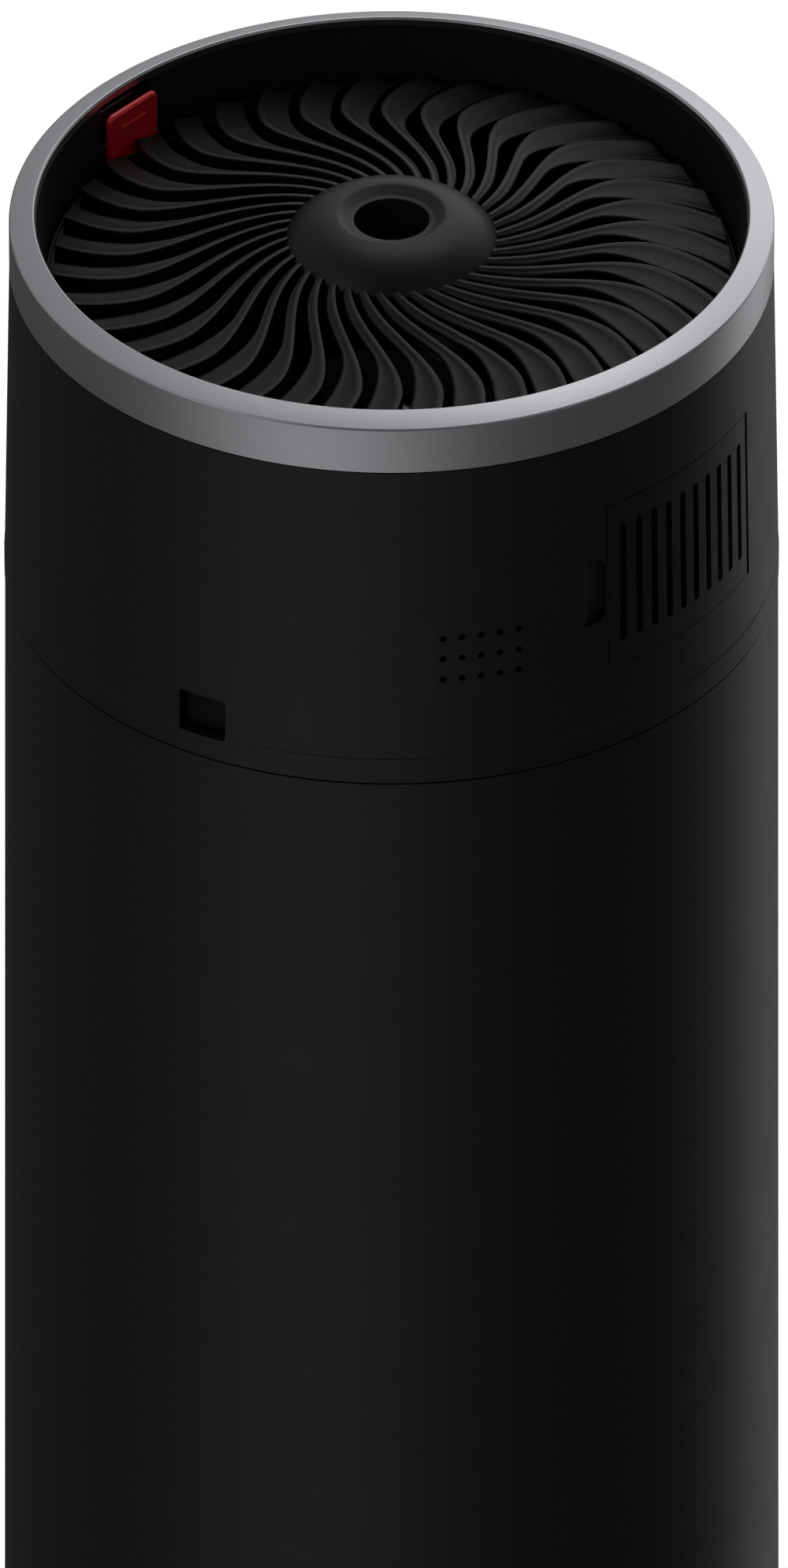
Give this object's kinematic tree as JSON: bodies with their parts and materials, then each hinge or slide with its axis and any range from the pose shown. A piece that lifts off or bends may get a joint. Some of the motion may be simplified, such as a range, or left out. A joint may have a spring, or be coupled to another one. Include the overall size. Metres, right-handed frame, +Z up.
{
  "type": "air purifier",
  "caption": "Round tower air purifier with a tapered black casing, a satin ring, a twisted-vane outlet grille, a red release tab and a lift-out cylindrical filter.",
  "frame": {"origin": "centre of the footprint on the floor", "axes": "+Z up the tower, -Y towards the side with the sensor cover, +X to the right seen from that side"},
  "size_m": [0.2675, 0.2677, 0.64],
  "materials": {
    "casing_black": "fine-grained matte moulded plastic",
    "ring_satin": "satin brushed",
    "collar_black": "smooth matte",
    "grille_black": "satin moulded",
    "release_red": "semi-gloss moulded",
    "rubber": "matte",
    "inner_grey": "plain moulded",
    "steel": "zinc plated",
    "circuit_board": "solder mask",
    "chip_black": "epoxy moulded",
    "copper_coil": "enamelled wire",
    "lens_black": "infrared-clear gloss",
    "mesh_grey": "woven mesh",
    "filter_paper": "pleated filter paper",
    "carbon": "granular",
    "gasket_foam": "closed-cell foam",
    "ribbon": "woven ribbon",
    "cable_white": "satin sheath"
  },
  "bodies": {
    "housing": {"lower_shell": "casing_black", "upper_shell": "casing_black", "top_ring": "ring_satin", "inner_collar": "collar_black", "plinth": "inner_grey", "rubber_feet": "rubber", "deck_posts": "inner_grey", "base_deck": "inner_grey", "base_screws": "steel", "supply_board": "circuit_board", "supply_parts": "chip_black", "mains_inlet": "collar_black", "inlet_pins": "steel", "rocker_housing": "collar_black", "inlet_plate": "inner_grey", "fan_duct": "inner_grey", "duct_screws": "steel", "motor_bracket": "inner_grey", "motor_screws": "steel", "motor_can": "steel", "motor_stator": "copper_coil", "motor_bearings": "steel", "control_board": "circuit_board", "board_parts": "chip_black", "board_standoffs": "steel", "sensor_bay": "inner_grey", "particle_sensor": "inner_grey", "sensor_mesh": "mesh_grey", "window_lens": "lens_black", "remote_receiver": "circuit_board", "air_sensor_board": "circuit_board", "magnet_catches": "steel", "supply_harness": "cable_white", "release_bracket": "steel"},
    "fan_rotor": {"impeller": "inner_grey", "motor_shaft": "steel", "motor_rotor": "steel", "impeller_nut": "steel"},
    "outlet_grille": {"grille_rim": "grille_black", "grille_hub": "grille_black", "grille_vanes": "grille_black"},
    "release_tab": {"release_button": "release_red", "button_spring": "steel"},
    "sensor_door": {"sensor_cover": "casing_black", "cover_pins": "steel"},
    "rear_door": {"rear_cover": "casing_black", "prefilter_mesh": "mesh_grey", "door_magnets": "steel"},
    "filter": {"filter_media": "filter_paper", "filter_sleeve": "mesh_grey", "carbon_core": "carbon", "filter_top_cap": "inner_grey", "filter_bottom_cap": "inner_grey", "filter_gasket": "gasket_foam", "filter_pull_tab": "ribbon"},
    "rocker": {"power_rocker": "collar_black"}
  },
  "joints": [
    {"name": "fan_spin", "type": "hinge", "parent": "housing", "child": "fan_rotor", "pos_m": [0, 0, 0.48], "axis": [0, 0, 1], "continuous": true},
    {"name": "grille_lift", "type": "slide", "parent": "housing", "child": "outlet_grille", "axis": [0, 0, 1], "range_m": [0, 0.08]},
    {"name": "release_press", "type": "slide", "parent": "housing", "child": "release_tab", "axis": [-0.7604, 0.6494, 0], "range_m": [0, 0.002], "stiffness_N_per_m": 400, "deforming": ["button_spring"]},
    {"name": "sensor_cover_hinge", "type": "hinge", "parent": "housing", "child": "sensor_door", "pos_m": [0.11624, -0.05106, 0.5611], "axis": [-0.0196, 0.0086, 0.9998], "range_deg": [0, 60]},
    {"name": "rear_door_pull", "type": "slide", "parent": "housing", "child": "rear_door", "axis": [0, 1, 0], "range_m": [0, 0.42]},
    {"name": "filter_pull", "type": "slide", "parent": "housing", "child": "filter", "axis": [0, 1, 0], "range_m": [0, 0.24]},
    {"name": "rocker_tilt", "type": "hinge", "parent": "housing", "child": "rocker", "pos_m": [0.0268, 0.12606, 0.045], "axis": [-0.9781, 0.2079, 0], "range_deg": [0, 14]}
  ],
  "couplings": [
    {"joint": "filter_pull", "follows": "rear_door_pull", "ratio": 0.55}
  ]
}
